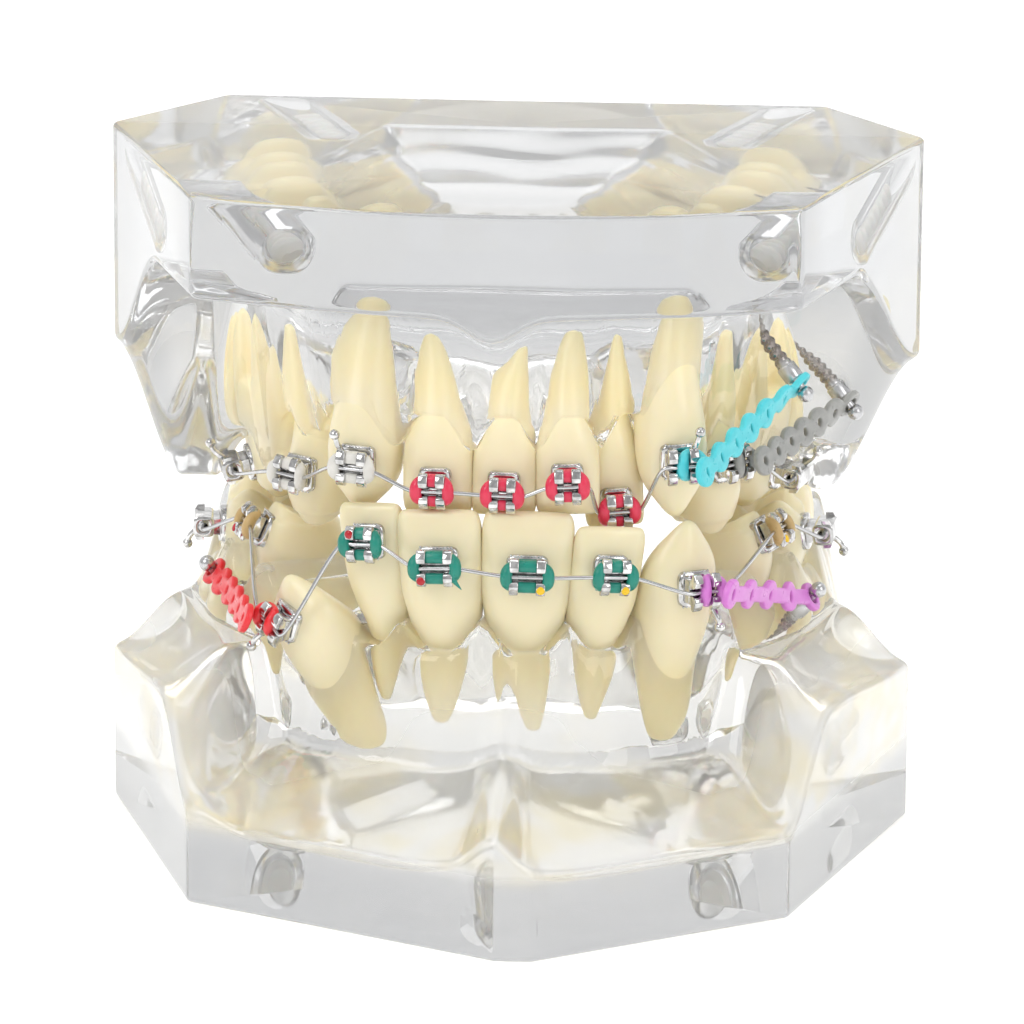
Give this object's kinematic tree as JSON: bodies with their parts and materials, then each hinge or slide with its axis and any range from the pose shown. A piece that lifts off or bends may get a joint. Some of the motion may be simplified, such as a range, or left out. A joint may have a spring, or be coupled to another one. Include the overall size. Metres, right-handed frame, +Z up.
{
  "type": "typodont model",
  "caption": "Clear acrylic study model of both jaws with whole teeth, orthodontic brackets, archwires, elastic chains and anchor screws.",
  "frame": {"origin": "centre of the box at its base: the middle of the flat face the model rests on", "axes": "+Z up, the front of the mouth towards -Y, +X to the viewer's right when facing the front"},
  "size_m": [0.078, 0.066, 0.066],
  "materials": {
    "clear_acrylic": "polished water-clear cast acrylic",
    "tooth_ivory": "ivory resin, satin crowns and duller roots",
    "bracket_steel": "polished stainless steel",
    "wire_steel": "drawn bright wire",
    "screw_steel": "machined steel",
    "nylon_white": "turned white nylon",
    "elastic_red": "smooth translucent elastomer",
    "elastic_violet": "smooth translucent elastomer",
    "elastic_cyan": "smooth translucent elastomer",
    "elastic_grey": "smooth translucent elastomer",
    "ligature_pink": "glossy elastic ring",
    "ligature_green": "glossy elastic ring",
    "ligature_white": "milky elastic ring",
    "ligature_amber": "clear amber elastic ring"
  },
  "bodies": {
    "bottom_jaw": {"bottom_archwire": "wire_steel", "bottom_bracket_canine_left": "bracket_steel", "bottom_bracket_canine_right": "bracket_steel", "bottom_bracket_central_left": "bracket_steel", "bottom_bracket_central_right": "bracket_steel", "bottom_bracket_lateral_left": "bracket_steel", "bottom_bracket_lateral_right": "bracket_steel", "bottom_bracket_premolar_left": "bracket_steel", "bottom_bracket_premolar_right": "bracket_steel", "bottom_canine_left": "tooth_ivory", "bottom_canine_right": "tooth_ivory", "bottom_cast": "clear_acrylic", "bottom_central_left": "tooth_ivory", "bottom_central_right": "tooth_ivory", "bottom_chain_left": "elastic_red", "bottom_chain_right": "elastic_violet", "bottom_lateral_left": "tooth_ivory", "bottom_lateral_right": "tooth_ivory", "bottom_molar1_left": "tooth_ivory", "bottom_molar1_right": "tooth_ivory", "bottom_molar2_left": "tooth_ivory", "bottom_molar2_right": "tooth_ivory", "bottom_plug_left": "nylon_white", "bottom_plug_right": "nylon_white", "bottom_premolar_left": "tooth_ivory", "bottom_premolar_right": "tooth_ivory", "bottom_screw_left": "screw_steel", "bottom_screw_right": "screw_steel", "bottom_tube_molar1_left": "bracket_steel", "bottom_tube_molar1_right": "bracket_steel"},
    "top_jaw": {"top_archwire": "wire_steel", "top_bracket_canine_left": "bracket_steel", "top_bracket_canine_right": "bracket_steel", "top_bracket_incisor1_left": "bracket_steel", "top_bracket_incisor1_right": "bracket_steel", "top_bracket_incisor2_left": "bracket_steel", "top_bracket_incisor2_right": "bracket_steel", "top_bracket_premolar_left": "bracket_steel", "top_bracket_premolar_right": "bracket_steel", "top_canine_left": "tooth_ivory", "top_canine_right": "tooth_ivory", "top_cast": "clear_acrylic", "top_chain_back": "elastic_grey", "top_chain_front": "elastic_cyan", "top_incisor1_left": "tooth_ivory", "top_incisor1_right": "tooth_ivory", "top_incisor2_left": "tooth_ivory", "top_incisor2_right": "tooth_ivory", "top_molar1_left": "tooth_ivory", "top_molar1_right": "tooth_ivory", "top_molar2_left": "tooth_ivory", "top_molar2_right": "tooth_ivory", "top_plug_left": "nylon_white", "top_plug_right": "nylon_white", "top_premolar_left": "tooth_ivory", "top_premolar_right": "tooth_ivory", "top_screw_back": "screw_steel", "top_screw_front": "screw_steel", "top_tube_molar1_left": "bracket_steel", "top_tube_molar1_right": "bracket_steel"}
  },
  "joints": [
    {"name": "jaw_lift", "type": "slide", "parent": "bottom_jaw", "child": "top_jaw", "axis": [0, 0, 1], "range_m": [0, 0.03]}
  ]
}
